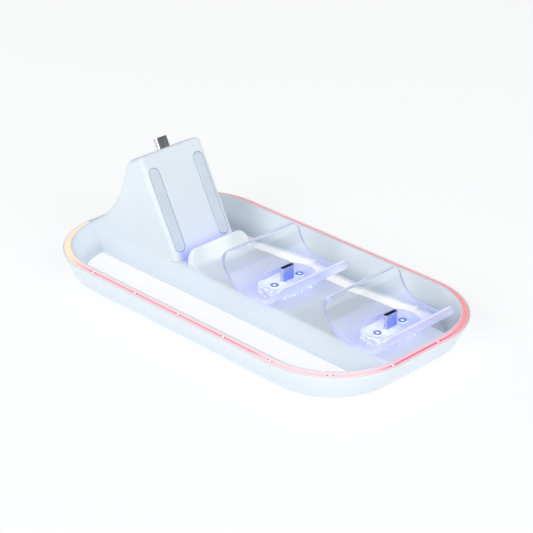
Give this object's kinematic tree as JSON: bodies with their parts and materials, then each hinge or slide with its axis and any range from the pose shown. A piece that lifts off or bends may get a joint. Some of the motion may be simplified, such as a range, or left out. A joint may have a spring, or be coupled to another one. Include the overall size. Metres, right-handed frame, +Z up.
{
  "type": "controller charging dock",
  "caption": "Charging dock: open slant-walled ring with a lit rim, bridge, leaning backrest riser and clear curved cradles, each with an upright plug.",
  "frame": {"origin": "centre of the ring, on the surface that the feet stand on", "axes": "+X along the ring from the riser to the free end, +Y across it, +Z up"},
  "size_m": [0.2146, 0.1162, 0.0666],
  "materials": {
    "white_shell": "satin",
    "grip_rubber": "matt",
    "clear_plastic": "clear gloss",
    "plug_steel": "drawn",
    "black_insulator": "matt",
    "circuit_board": "satin",
    "lamp": "gloss",
    "screw_steel": "turned",
    "light_guide": "satin",
    "flex_tape": "satin",
    "foot_rubber": "matt"
  },
  "bodies": {
    "root": {"housing": "white_shell", "base_cover": "white_shell", "backrest_panel": "white_shell", "grip_strip_near": "grip_rubber", "grip_strip_far": "grip_rubber", "cradle_one": "clear_plastic", "cradle_two": "clear_plastic", "pedestal_one": "clear_plastic", "pedestal_two": "clear_plastic", "seat_light": "clear_plastic", "plug_neck_one": "clear_plastic", "plug_neck_two": "clear_plastic", "plug_shell_one": "plug_steel", "plug_shell_two": "plug_steel", "riser_plug_shell": "plug_steel", "inlet_shell": "plug_steel", "plug_core_one": "black_insulator", "plug_core_two": "black_insulator", "riser_plug_core": "black_insulator", "inlet_core": "black_insulator", "main_board": "circuit_board", "riser_board": "circuit_board", "ring_leds": "lamp", "glow_leds": "lamp", "cradle_screws": "screw_steel", "board_screws": "screw_steel", "base_screws": "screw_steel", "light_guide": "light_guide", "led_tape": "flex_tape", "riser_ribbon": "flex_tape", "rubber_feet": "foot_rubber"}
  },
  "joints": []
}
